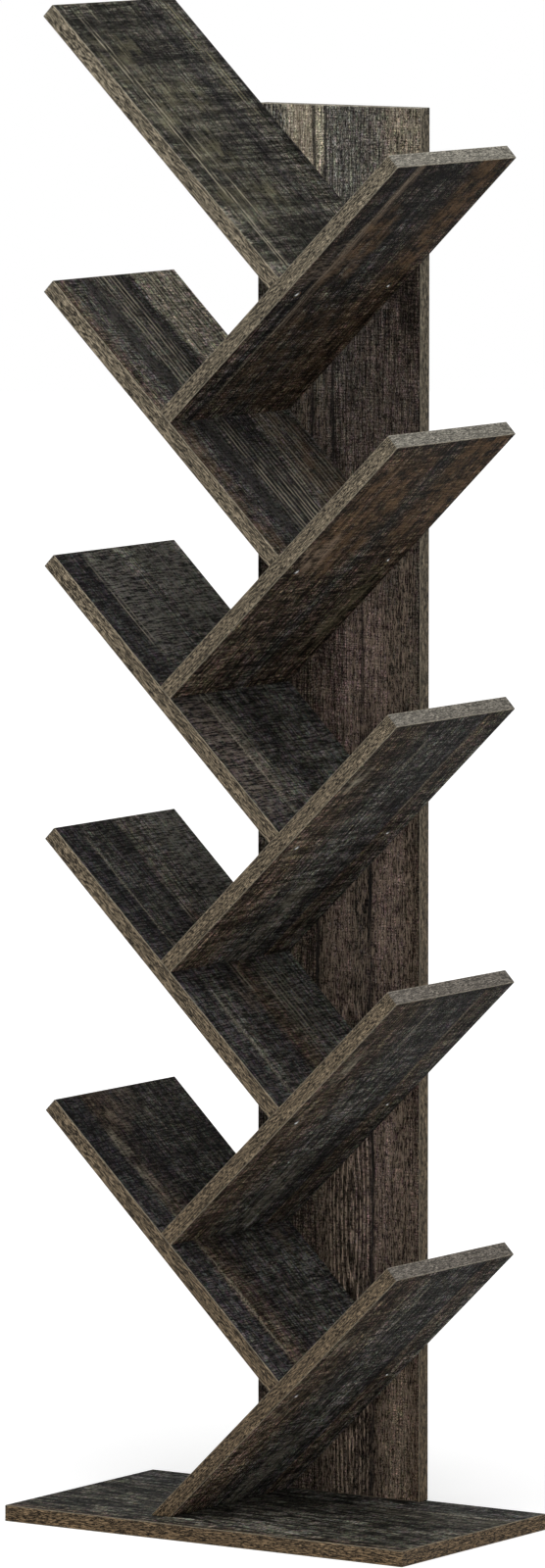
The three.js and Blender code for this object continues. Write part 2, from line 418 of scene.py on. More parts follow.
def screw_sizes(foot):
    """Radii of shank and head, width and depth of the socket, and the length."""
    s = settings().screws
    if foot:
        return s.foot_shank / 2, s.foot_head / 2, s.foot_socket, s.foot_socket_depth, s.foot_long
    return s.shank / 2, s.head / 2, s.socket, s.socket_depth, s.long


def model_screw(name, foot):
    """A countersunk screw with its head's top at the origin and its point up along +Z."""
    s = settings().screws
    shank, head, socket, socket_depth, screw_length = screw_sizes(foot)
    root = shank - THREAD_DEPTH
    neck = s.rim + head - shank
    stations = [(0, head - HEAD_BEVEL), (HEAD_BEVEL, head), (s.rim, head), (neck, shank)]
    z = neck + PLAIN_NECK
    stations.append((z, shank))
    while z + s.pitch < screw_length - s.tip:
        stations += [(z + share * s.pitch, root) for share in ROOT_SHARES]
        z += s.pitch
        stations.append((z, shank))
    stations += [(screw_length - s.tip, root), (screw_length, TIP_RADIUS)]
    screw = turned_blank(name, stations, ROUND)
    # The socket: a shallow cone round its mouth, worn bright by keys, then a hexagon
    corner = socket / 2 / math.cos(math.pi / HEXAGON)
    mouth = turned_blank("mouth", [(-OVERRUN, corner + MOUTH_FLARE),
                                   (MOUTH_DEPTH, corner - MOUTH_OVERLAP)], ROUND)
    hexagon = turned_blank("hexagon", [(-OVERRUN, corner), (socket_depth, corner)], HEXAGON)
    for part, index in ((screw, BLACKENED), (mouth, WORN), (hexagon, BLACKENED)):
        add_slots(part, 2, index)
    cut(screw, mouth)
    cut(screw, hexagon)
    return screw


def model_hole(name, foot):
    """The space that a screw needs in the boards, open above its head."""
    s = settings().screws
    shank, head, _, _, screw_length = screw_sizes(foot)
    wide, narrow = head + s.clearance, shank + s.clearance
    return turned_blank(name, [
        (-HOLE_OVERRUN, wide), (s.rim, wide), (s.rim + head - shank, narrow),
        (screw_length - s.tip, narrow), (screw_length + s.clearance, HOLE_TIP_RADIUS)], ROUND)


def screw_direction(name):
    """Which way a screw of this name points, from its head to its tip."""
    slope = settings().boards.slope
    if name.startswith("base_screw"):
        return Vector((0, 0, 1))
    if name.startswith("panel_screw"):
        return Vector((0, -1, 0))
    across = math.sin(slope) if "_left_" in name else -math.sin(slope)
    return Vector((across, 0, math.cos(slope)))


def screw_place(name):
    """From a screw's own frame to the room, found from the frame's screw of the same name."""
    way = screw_direction(name)
    turn = way.to_track_quat("Z", "Y").to_matrix().to_4x4()
    corners = [turn.inverted() @ vertex.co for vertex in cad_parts[name].data.vertices]
    low = Vector(min(corner[i] for corner in corners) for i in range(3))
    high = Vector(max(corner[i] for corner in corners) for i in range(3))
    return turn @ Matrix.Translation(((low.x + high.x) / 2, (low.y + high.y) / 2, low.z))


def drill(piece, names):
    """Cuts the holes of these screws into a board. Their walls show the board's core."""
    cutters = []
    for foot in (False, True):
        wanted = [name for name in names if name.startswith("base_screw_foot") == foot]
        if wanted:
            model = model_hole("hole", foot)
            cutters += [copy_of(model, "hole_" + name, screw_place(name)) for name in wanted]
            remove(model)
    work_on(*cutters)
    bpy.ops.object.join()
    cutter = bpy.context.active_object
    add_slots(cutter, 4, CORE)
    cut(piece, cutter)


# The angles past which a crease stays sharp
BOARD_CREASE = math.radians(31)
SCREW_CREASE = math.radians(25)


def finish(piece, materials, crease):
    """Fills a piece's material slots in order, and shades it with its flat faces kept flat."""
    for index, material in enumerate(materials):
        piece.data.materials[index] = material
    work_on(piece)
    bpy.ops.object.shade_smooth_by_angle(angle=crease)
    apply_modifier(piece, "WEIGHTED_NORMAL", keep_sharp=True, weight=100)


# How far a finished piece may lie from the solid that it stands for
TOLERANCE = 0.3 * MM


def hand_over(piece, node):
    """The finished piece stands for the frame's node of the same place."""
    low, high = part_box(node)
    for i in range(3):
        ends = [vertex.co[i] for vertex in piece.data.vertices]
        off = max(abs(min(ends) - low[i]), abs(max(ends) - high[i]))
        if off > TOLERANCE:
            raise RuntimeError(f"{piece.name} lies {off / MM:.2f} mm off {node}")
    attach(piece, "root")
    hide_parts(node)


# Materials

def add_node(tree, kind, inputs=None, stops=None, **values):
    """Adds a node with its settings. An input is a value, a socket, or a node to link from."""
    node = tree.nodes.new("ShaderNode" + kind)
    for key, value in values.items():
        setattr(node, key, value)
    for key, value in (inputs or {}).items():
        socket = node.inputs[key] if isinstance(key, int) else next(
            each for each in node.inputs if each.enabled and each.name == key)
        if isinstance(value, bpy.types.Node):
            value = next(each for each in value.outputs if each.enabled)
        if isinstance(value, bpy.types.NodeSocket):
            tree.links.new(value, socket)
        else:
            if socket.type == "RGBA" and len(value) == 3:
                value = (*value, 1)
            socket.default_value = value
    for index, (position, shade_of) in enumerate(stops or ()):
        elements = node.color_ramp.elements
        element = elements[index] if index < 2 else elements.new(position)
        element.position = min(1.0, max(0.0, position))
        element.color = (*shade_of, 1) if isinstance(shade_of, tuple) else (shade_of,) * 3 + (1,)
    return node


def new_material(name):
    """An empty node material."""
    material = bpy.data.materials.new(name)
    material.use_nodes = True
    tree = material.node_tree
    tree.nodes.clear()
    return material, tree


def grain_frame(origin, along, across):
    """A pattern's frame, +X along the grain and +Y across it, as a place and a turn."""
    along, across = Vector(along), Vector(across)
    turn = Matrix((along, across, along.cross(across))).transposed()
    return Vector(origin), turn.to_euler("XYZ")


def on_board(tree, grain):
    """Where a point lies in the board's own frame, so that the print follows the board."""
    here = add_node(tree, "TexCoord").outputs["Object"]
    return add_node(tree, "Mapping", {
        "Vector": here, "Location": grain[0], "Rotation": grain[1]}, vector_type="TEXTURE")


# How far apart the noise of two seeds lies, and how rough the noise of every stroke is
SEED_STEP = (5.17, 3.71, 1.3)
STROKE_ROUGHNESS = 0.68


def strokes(tree, where, seed, size, low, high, detail=3.0):
    """The print's strokes: 1 in a stroke and 0 beside it. Size is millimetres in X, Y and Z."""
    stretched = add_node(tree, "Mapping", {
        "Vector": where, "Location": [seed * step for step in SEED_STEP],
        "Scale": [1 / (side * MM) for side in size]})
    noise = add_node(tree, "TexNoise", {
        "Vector": stretched, "Scale": 1.0, "Detail": detail, "Roughness": STROKE_ROUGHNESS})
    return add_node(tree, "MapRange", {
        "Value": noise, "From Min": low, "From Max": high}, interpolation_type="SMOOTHSTEP")


def printed(tree, light, depths):
    """The print's light, which each pattern raises and lowers by its depth, a share of it."""
    for pattern, depth in depths:
        step = add_node(tree, "MapRange", {
            "Value": pattern, "To Min": 1 - depth, "To Max": 1 + depth})
        light = add_node(tree, "Math", {0: step, 1: light}, operation="MULTIPLY")
    return light


def finish_surface(material, tree, colour_socket, roughness, bump, specular):
    """Ends a material in a shader that isn't metal."""
    surface = add_node(tree, "BsdfPrincipled", {
        "Base Color": colour_socket, "Roughness": roughness, "Normal": bump,
        "Specular IOR Level": specular})
    add_node(tree, "OutputMaterial", {"Surface": surface})
    return material


# The strokes of the print: a step of the seed, their size in millimetres along, across and
# through the board, the noise at which a stroke starts and at which it is full, and the noise's
# detail. The finest are near 0.3 mm in the real print, too fine to show, and so are drawn 1 to
# 2 mm wide.
STROKES = {
    "fibre": (1, (30, 1.1, 1.1), 0.44, 0.56, 2),
    "saw": (2, (1.3, 14, 14), 0.44, 0.56, 2),
    "pores": (3, (1.7, 1, 1), 0.45, 0.55, 1),
    "bands": (4, (6, 110, 110), 0.38, 0.62, 2),
    "clouds": (5, (110, 34, 34), 0.25, 0.75, 3),
    "mottle": (6, (18, 14, 14), 0.38, 0.62, 4),
    "breaks": (7, (26, 4, 4), 0.38, 0.6, 3),
    "dash": (8, (8, 1, 1), 0.51, 0.59, 2),
    "streak": (9, (150, 2, 2), 0.4, 0.6, 2),
}
# The strokes that a look may widen, and the ones that lighten and darken the print
FINE = ("fibre", "saw", "pores", "dash", "streak")
SHADING = ("fibre", "saw", "pores", "streak", "mottle", "bands", "clouds")
# How far the print wavers along and across a board, and how softly its stains end, as shares
WAVER_SHARES = (0.16, 0.03)
SOFT_SHARES = (0.05, 0.03)
# What a look has unless it says otherwise
PLAIN_LOOK = dict(streak=0.25, clouds=0.3, flecks=0.7, wide=1, painted_light_along=(1, 1), stains_and_painted_light=(),
                  marks=(), arches=())


def decor(name, grain, size, look):
    """Melamine-faced board: a printed weathered-wood paper under a matt, finely embossed resin.

    The eye sees planks of charcoal and brown side by side, crosswise saw marks, fine pale fibres
    along the grain, and olive worn patches. The resin is matt, with hardly any sheen.
    """
    c = settings().colours
    look = {**PLAIN_LOOK, **look}
    seed = look["seed"]
    material, tree = new_material(name)
    where = on_board(tree, grain)

    # How far along the board and across it a point lies, 0 to 1, with the planks' edges wavering
    parts = add_node(tree, "SeparateXYZ", {"Vector": where})
    reach = []
    for axis, full, waver in zip("XY", size, WAVER_SHARES):
        at = add_node(tree, "MapRange", {
            "Value": parts.outputs[axis], "From Max": full, "To Min": -waver / 2,
            "To Max": 1 - waver / 2})
        drift = strokes(tree, where, seed + full, (90, 40, 40), 0.2, 0.8)
        reach.append(add_node(tree, "Math", {0: drift, 1: waver, 2: at},
                              operation="MULTIPLY_ADD"))

    patterns = {"whole": 1.0}
    for kind, (step, (along, across, through), *levels) in STROKES.items():
        if kind in FINE:
            across *= look["wide"]
        patterns[kind] = strokes(tree, where, seed + step, (along, across, through), *levels)
    # Worn rings stand in rows 6 mm apart, long and straight along the grain
    row_place = add_node(tree, "Mapping", {"Vector": where, "Scale": (0.12, 1, 1)})
    comb = add_node(tree, "TexWave", {
        "Vector": row_place, "Scale": 52.0, "Distortion": 5.0, "Detail": 3.0,
        "Detail Scale": 1.0, "Phase Offset": seed * 1.9}, wave_type="BANDS", bands_direction="Y")
    ridges = add_node(tree, "MapRange", {"Value": comb, "From Min": 0.62, "From Max": 0.84})
    gaps = add_node(tree, "MapRange", {"Value": comb, "From Min": 0.4, "From Max": 0.2})
    hatch = add_node(tree, "Math", {0: patterns["fibre"], 1: patterns["saw"]},
                     operation="MAXIMUM")
    for kind, first, second in (("worn", hatch, "mottle"), ("rows", ridges, "breaks"),
                                ("gaps", gaps, "breaks")):
        patterns[kind] = add_node(tree, "Math", {0: first, 1: patterns[second]},
                                  operation="MULTIPLY")

    light = printed(tree, look["tone"], [(patterns[kind], look[kind]) for kind in SHADING])
    # Painted light along the board: its light at the upper end and at the foot, brighter at the foot,
    # where the other boards shade it
    painted_light_ramp = add_node(tree, "MapRange", {
        "Value": reach[0], "To Min": look["painted_light_along"][0], "To Max": look["painted_light_along"][1]})
    light = add_node(tree, "Math", {0: painted_light_ramp, 1: light}, operation="MULTIPLY")
    # Flecks 7 mm long and 2.5 mm wide in all hues, so that no plank is one hue
    fleck_size = add_node(tree, "Mapping", {
        "Vector": where, "Location": (seed, seed, seed), "Scale": (150, 400, 400)})
    flecks = add_node(tree, "TexNoise", {
        "Vector": fleck_size, "Scale": 1.0, "Detail": 2.0, "Roughness": 0.7})

    # The planks' own colours with stains, painted shadows and painted light on them, then the strokes'
    # light with the painted light along the board, then the marks
    paper = add_node(tree, "ValToRGB", {"Fac": reach[1]}, [
        (at, tuple(getattr(c, key))) for at, key in look["planks"]])
    for layer in ("stains_and_painted_light", "marks"):
        for pattern_and_colour, strength, *reaches in look[layer]:
            kind, key = pattern_and_colour.split()
            factor = add_node(tree, "Math", {0: patterns[kind], 1: strength},
                              operation="MULTIPLY")
            for at, low, high, soft in zip(reach, reaches[::2], reaches[1::2], SOFT_SHARES):
                # A stain that starts or ends at the board's end stays at full strength there
                soft = min(soft, (high - low) / 3)
                stops = [(low - soft, 0.0), (low + soft, 1.0)] if low > 0 else [(0.0, 1.0)]
                stops += [(high - soft, 1.0), (high + soft, 0.0)] if high < 1 else [(1.0, 1.0)]
                inside = add_node(tree, "ValToRGB", {"Fac": at}, stops)
                factor = add_node(tree, "Math", {0: factor, 1: inside}, operation="MULTIPLY")
            paper = add_node(tree, "Mix", {
                "Factor": factor, "A": paper, "B": getattr(c, key)}, data_type="RGBA")
        if layer == "stains_and_painted_light":
            paper = add_node(tree, "Mix", {
                "Factor": look["flecks"], "A": paper, "B": flecks.outputs["Color"]},
                data_type="RGBA", blend_type="SOFT_LIGHT")
            paper = add_node(tree, "VectorMath", {0: paper, "Scale": light}, operation="SCALE")
    for u, v, radius in look["arches"]:
        # Where the saw cut a growth ring along its length: pointed rings 4 mm apart, long along the grain
        ring_place = add_node(tree, "Mapping", {
            "Vector": where, "Location": (u * size[0], v * size[1], 0),
            "Scale": (9, 1, 1)}, vector_type="TEXTURE")
        rings = add_node(tree, "TexWave", {
            "Vector": ring_place, "Scale": 75.0, "Distortion": 3.0, "Detail": 3.0,
            "Detail Scale": 1.2}, wave_type="RINGS", rings_direction="SPHERICAL")
        rings = add_node(tree, "MapRange", {
            "Value": rings, "From Min": 0.4, "From Max": 0.8, "To Min": 0.5, "To Max": 1.9})
        away = add_node(tree, "VectorMath", {0: ring_place}, operation="LENGTH")
        near = add_node(tree, "MapRange", {
            "Value": away, "From Min": radius * MM, "From Max": radius * MM * 0.6})
        rings = add_node(tree, "Mix", {"Factor": near, "A": 1.0, "B": rings})
        paper = add_node(tree, "VectorMath", {0: paper, "Scale": rings}, operation="SCALE")
    # The resin is embossed with pores about 0.15 mm deep, and is smoother between them
    bump = add_node(tree, "Bump", {"Height": hatch, "Strength": 0.4, "Distance": 0.15 * MM})
    rough = add_node(tree, "MapRange", {
        "Value": patterns["pores"], "To Min": 0.85, "To Max": 0.72})
    return finish_surface(material, tree, paper, rough, bump, 0.04)


def banding(name, grain, ends_light):
    """PVC edge banding, 0.4 mm thick, printed as wood and trimmed flush.

    The eye sees a taupe strip with short dark and pale dashes along it, and a thin paler line
    along both arrises where the trimmer cut the print. Its light is given at the floor and at
    the bookshelf's full height.
    """
    b = settings().boards
    c = settings().colours
    material, tree = new_material(name)
    where = on_board(tree, grain)
    # The print's dashes are 5 to 20 mm long, and are drawn 0.5 mm wide, coarser than they are
    dashes = strokes(tree, where, 4, (11, 11, 0.52), 0.45, 0.55, 2)
    flecks = strokes(tree, where, 5, (4.2, 4.2, 0.42), 0.45, 0.55, 1)
    clouds = strokes(tree, where, 8, (60, 60, 12), 0.3, 0.7, 1)
    room = add_node(tree, "TexCoord").outputs["Object"]
    height = add_node(tree, "SeparateXYZ", {"Vector": room}).outputs["Z"]
    level = add_node(tree, "MapRange", {"Value": height, "From Max": b.height})
    tone = add_node(tree, "ValToRGB", {"Fac": level}, [
        (0.0, tuple(c.band_base)), (0.02, tuple(c.band_low)), (0.95, tuple(c.band_high))])
    light = add_node(tree, "MapRange", {
        "Value": level, "To Min": ends_light[0], "To Max": ends_light[1]})
    light = printed(tree, light, ((dashes, 0.65), (flecks, 0.90), (clouds, 0.08)))
    place = add_node(tree, "SeparateXYZ", {"Vector": where})
    if name != "pvc_edge_banding_base":
        # The strip round an upper end is greyer and paler, with a fainter print
        end = add_node(tree, "Math", {0: place.outputs["X"], 1: 1 * MM}, operation="LESS_THAN")
        paler = add_node(tree, "ValToRGB", {"Fac": level}, [
            (0.35, tuple(c.band_end_low)), (0.75, tuple(c.band_end))])
        tone = add_node(tree, "Mix", {"Factor": end, "A": tone, "B": paler}, data_type="RGBA")
        fainter = add_node(tree, "Math", {0: end, 1: 0.3}, operation="MULTIPLY")
        light = add_node(tree, "Mix", {"Factor": fainter, "A": light, "B": 0.85})
    print_colour = add_node(tree, "VectorMath", {0: tone, "Scale": light}, operation="SCALE")
    off_middle = add_node(tree, "Math", {
        0: place.outputs["Z"], 1: -b.thickness / 2}, operation="SUBTRACT")
    off_middle = add_node(tree, "Math", {0: off_middle}, operation="ABSOLUTE")
    arris = add_node(tree, "MapRange", {
        "Value": off_middle, "From Min": b.thickness / 2 - 0.9 * MM,
        "From Max": b.thickness / 2 - 0.4 * MM, "To Max": 0.45})
    print_colour = add_node(tree, "Mix", {
        "Factor": arris, "A": print_colour, "B": c.pale}, data_type="RGBA")
    bump = add_node(tree, "Bump", {"Height": dashes, "Strength": 0.4, "Distance": 0.1 * MM})
    rough = add_node(tree, "MapRange", {"Value": dashes, "To Min": 0.7, "To Max": 0.6})
    return finish_surface(material, tree, print_colour, rough, bump, 0.12)


def particle_board(name):
    """Raw particle board: pressed chips of wood in resin, rough, 1 to 4 mm across."""
    material, tree = new_material(name)
    here = add_node(tree, "TexCoord").outputs["Object"]
    chips = add_node(tree, "TexVoronoi", {"Vector": here, "Scale": 420.0})
    dust = strokes(tree, here, 3, (1.1, 1.1, 1.1), 0.3, 0.7)
    light = add_node(tree, "MapRange", {"Value": dust, "To Min": 0.75, "To Max": 1.2})
    tint = add_node(tree, "Mix", {
        "Factor": 0.35, "A": settings().colours.core, "B": chips.outputs["Color"]},
        data_type="RGBA", blend_type="SOFT_LIGHT")
    chip_colour = add_node(tree, "VectorMath", {0: tint, "Scale": light}, operation="SCALE")
    bump = add_node(tree, "Bump", {
        "Height": chips.outputs["Distance"], "Strength": 0.6, "Distance": 0.4 * MM})
    rough = add_node(tree, "MapRange", {"Value": dust, "To Min": 0.8, "To Max": 0.95})
    return finish_surface(material, tree, chip_colour, rough, bump, 0.3)


def screw_steel(name, colour_of, dull):
    """Blackened steel: a thin dark oxide over turned steel, or the steel where it is worn off.

    The eye sees a dark satin head, with a bright glint on the worn rim of its socket.
    """
    material, tree = new_material(name)
    here = add_node(tree, "TexCoord").outputs["Object"]
    # Handling wear and turning marks, drawn 0.4 to 1.5 mm across
    wear = strokes(tree, here, 1, (1.4, 1.4, 1.4), 0.35, 0.68, 4)
    fine = strokes(tree, here, 2, (0.4, 0.4, 0.4), 0.3, 0.7, 2)
    light = add_node(tree, "MapRange", {"Value": wear, "To Min": 0.7, "To Max": 1.8})
    oxide = add_node(tree, "VectorMath", {
        0: getattr(settings().colours, colour_of), "Scale": light}, operation="SCALE")
    rough = add_node(tree, "MapRange", {"Value": wear, "To Min": dull, "To Max": dull - 0.14})
    bump = add_node(tree, "Bump", {"Height": fine, "Strength": 0.2, "Distance": 0.05 * MM})
    surface = add_node(tree, "BsdfPrincipled", {
        "Base Color": oxide, "Roughness": rough, "Normal": bump, "Metallic": 1.0})
    add_node(tree, "OutputMaterial", {"Surface": surface})
    return material


def shared(maker, name, *values):
    """A material of this name, made once."""
    return bpy.data.materials.get(name) or maker(name, *values)


# The print of each board. Along a shelf, 0 is its upper end and 1 its foot, and across it 0 is the
# front edge and 1 the back edge. The panel runs from its top down and from left to right, and the
# base from left to right and from front to back. Planks are colours across the board. A stroke's
# depth is a share of the tone. The light along the board is painted light, given at its two ends and
# brighter at the foot, where the other boards shade it. Flecks is the strength of the flecks, and
# wide widens the fine strokes. A stain or mark is its pattern and colour, its strength, and where it
# starts and ends along the board and across it; the stains also hold painted shadows and painted
# light. An arch is the place of its rings, and their reach in millimetres.
LOOKS = {}
LOOKS["left_1", "top"] = dict(
    seed=1, tone=0.92, saw=0.65, fibre=0.7, pores=0.55, bands=0.6, painted_light_along=(0.76, 1.32), mottle=0.1,
    flecks=0.45,
    planks=[
        (0, "moss"), (0.66, "moss"), (0.69, "night"), (0.72, "charcoal"), (0.9, "moss"), (1, "night")],
    marks=[
        ("worn olive", 0.42, 0.13, 0.27, 0.04, 0.38), ("worn olive", 0.42, 0.32, 0.44, 0.05, 0.6),
        ("worn olive", 0.5, 0.5, 0.59, 0.05, 0.45), ("worn olive", 0.4, 0.68, 0.77, 0.05, 0.55),
        ("saw soot", 0.45, 0.05, 0.98, 0.04, 0.8), ("rows pale", 0.8, 0.02, 0.99, 0.12, 0.17),
        ("rows pale", 0.6, 0.02, 0.75, 0.235, 0.255), ("rows olive", 0.65, 0, 0.4, 0.84, 0.94),
        ("gaps night", 0.6, 0, 0.4, 0.82, 0.95)])
LOOKS["left_2", "top"] = dict(
    seed=2, tone=1.28, saw=0.65, fibre=0.7, pores=0.6, bands=0.1, mottle=0.08, streak=0.35,
    planks=[
        (0, "umber"), (0.12, "charcoal"), (0.42, "charcoal"), (0.5, "night"), (0.6, "charcoal"),
        (0.66, "ash"), (1, "slate")],
    stains_and_painted_light=[
        ("whole night", 0.7, 0.48, 0.99, 0, 1), ("whole ash", 0.95, 0, 0.4, 0.62, 1),
        ("whole pale", 0.45, 0, 0.38, 0.64, 1), ("whole soot", 0.4, 0.16, 0.4, 0.5, 0.62)],
    marks=[
        ("saw night", 0.9, 0, 0.95, 0.2, 0.31), ("gaps night", 0.5, 0, 0.4, 0.32, 0.54),
        ("gaps night", 0.5, 0, 0.4, 0.64, 0.96), ("rows pale", 0.8, 0, 0.4, 0.33, 0.52),
        ("rows pale", 1, 0, 0.4, 0.64, 0.97), ("gaps night", 0.95, 0.52, 0.99, 0.34, 0.98),
        ("rows pale", 0.85, 0.52, 0.99, 0.35, 0.44), ("rows pale", 0.95, 0.7, 0.99, 0.46, 0.66),
        ("rows pale", 0.6, 0.52, 0.99, 0.66, 0.98), ("worn rust", 0.35, 0.5, 0.99, 0, 0.12),
        ("worn rust", 0.45, 0.52, 0.9, 0.66, 0.98)])
LOOKS["left_3", "top"] = dict(
    seed=3, tone=1.07, saw=0.7, fibre=0.5, pores=0.42, bands=0.25, painted_light_along=(0.9, 1.38), mottle=0.1,
    planks=[
        (0, "night"), (0.19, "night"), (0.24, "charcoal"), (0.45, "charcoal"), (0.52, "night"),
        (0.66, "charcoal"), (1, "slate")],
    stains_and_painted_light=[
        ("whole ash", 0.6, 0, 0.34, 0.48, 1), ("whole soot", 0.5, 0, 0.34, 0, 0.19),
        ("whole soot", 0.4, 0.14, 0.34, 0.16, 0.6), ("whole soot", 0.4, 0.5, 0.72, 0, 0.42)],
    marks=[
        ("rows pale", 0.8, 0.08, 0.34, 0.2, 0.25), ("pores pale", 0.8, 0.5, 0.92, 0.235, 0.25),
        ("saw ash", 0.5, 0, 0.34, 0.22, 0.48), ("saw tan", 0.22, 0.52, 0.95, 0.02, 0.3),
        ("rows pale", 0.4, 0.55, 0.85, 0.26, 0.36), ("saw ash", 0.6, 0, 0.32, 0.62, 0.98)])
LOOKS["left_4", "top"] = dict(
    seed=4, tone=1.06, saw=0.7, fibre=0.55, pores=0.45, bands=0.25, painted_light_along=(0.86, 1.26), mottle=0.12,
    planks=[
        (0, "night"), (0.15, "night"), (0.2, "charcoal"), (0.45, "night"), (0.52, "umber"),
        (0.7, "charcoal"), (1, "slate")],
    stains_and_painted_light=[
        ("whole ash", 0.6, 0, 0.34, 0.48, 1), ("whole soot", 0.4, 0, 0.4, 0, 0.15),
        ("whole soot", 0.6, 0.13, 0.34, 0, 0.28)],
    marks=[
        ("pores pale", 0.55, 0.02, 0.42, 0.17, 0.185), ("rows pale", 0.6, 0.16, 0.4, 0.47, 0.51),
        ("rows pale", 0.5, 0.52, 0.62, 0.46, 0.53), ("pores pale", 0.5, 0.6, 0.95, 0.18, 0.2),
        ("worn tan", 0.45, 0.58, 0.7, 0.36, 0.46), ("rows pale", 0.45, 0.58, 0.8, 0.62, 0.85),
        ("saw ash", 0.6, 0, 0.32, 0.7, 0.98)])
LOOKS["left_5", "top"] = dict(
    seed=5, tone=0.96, saw=0.7, fibre=0.55, pores=0.45, bands=0.3, painted_light_along=(0.86, 1.7), mottle=0.15,
    planks=[
        (0, "night"), (0.18, "night"), (0.22, "umber"), (0.45, "night"), (0.6, "charcoal"), (1, "night")],
    stains_and_painted_light=[
        ("clouds ash", 0.45, 0, 0.34, 0.45, 1), ("whole soot", 0.6, 0, 0.4, 0, 0.18),
        ("whole soot", 0.3, 0.1, 0.4, 0.26, 0.45), ("whole soot", 0.45, 0.13, 0.34, 0, 0.74),
        ("whole slate", 0.6, 0.5, 1, 0.7, 1)],
    marks=[
        ("worn pale", 0.45, 0.1, 0.42, 0.19, 0.26), ("pores pale", 0.7, 0.5, 0.97, 0.21, 0.23),
        ("worn tan", 0.35, 0.02, 0.12, 0.2, 0.6), ("worn rust", 0.4, 0.5, 0.6, 0.78, 0.95)])
LOOKS["right_1", "under"] = dict(
    seed=11, tone=0.56, saw=0.7, fibre=0.85, pores=0.75, bands=0.5, painted_light_along=(0.75, 2.5), mottle=0.3,
    streak=0.55,
    planks=[
        (0, "umber"), (0.16, "night"), (0.2, "umber"), (0.5, "charcoal"), (0.74, "umber"), (1, "umber")],
    stains_and_painted_light=[("clouds night", 0.5, 0, 0.99, 0.26, 0.72), ("whole soot", 0.6, 0.48, 0.66, 0, 0.14)],
    marks=[
        ("pores pale", 0.6, 0, 0.95, 0.19, 0.205), ("fibre tan", 0.5, 0, 0.6, 0.18, 0.24),
        ("saw tan", 0.25, 0.33, 0.42, 0, 0.45), ("worn rust", 0.75, 0.2, 0.43, 0.2, 0.45),
        ("worn rust", 0.8, 0, 0.48, 0.72, 0.93), ("worn rust", 0.4, 0.55, 0.98, 0.25, 0.95)])
LOOKS["right_2", "under"] = dict(
    seed=12, tone=0.72, saw=0.7, fibre=0.85, pores=0.7, bands=0.5, painted_light_along=(0.76, 2.25), mottle=0.3,
    streak=0.55,
    planks=[(0, "umber"), (0.45, "umber"), (0.55, "charcoal"), (0.65, "umber"), (1, "umber")],
    stains_and_painted_light=[("clouds rust", 0.2, 0, 0.6, 0, 1), ("clouds night", 0.5, 0.3, 0.99, 0.3, 0.8)],
    marks=[
        ("worn rust", 0.8, 0.04, 0.48, 0.05, 0.5), ("worn rust", 0.75, 0, 0.45, 0.65, 0.98),
        ("worn olive", 0.45, 0.58, 0.84, 0.78, 0.95), ("worn tan", 0.6, 0.4, 0.48, 0.04, 0.26),
        ("pores tan", 0.6, 0, 0.28, 0.185, 0.2)])
LOOKS["right_3", "under"] = dict(
    seed=13, tone=1.03, saw=0.65, fibre=0.85, pores=0.7, bands=0.4, painted_light_along=(0.85, 1.85),
    mottle=0.18, streak=0.5,
    planks=[
        (0, "umber"), (0.2, "umber"), (0.4, "charcoal"), (0.6, "charcoal"), (0.77, "night"),
        (0.79, "umber"), (1, "charcoal")],
    marks=[
        ("worn pale", 0.75, 0.19, 0.29, 0.06, 0.17), ("worn pale", 0.25, 0.44, 0.58, 0.08, 0.16),
        ("pores pale", 0.8, 0.03, 0.24, 0.41, 0.425), ("pores night", 0.8, 0.02, 0.42, 0.765, 0.78),
        ("pores pale", 0.55, 0.02, 0.42, 0.785, 0.8), ("worn pale", 0.45, 0.68, 0.98, 0.45, 0.62)])
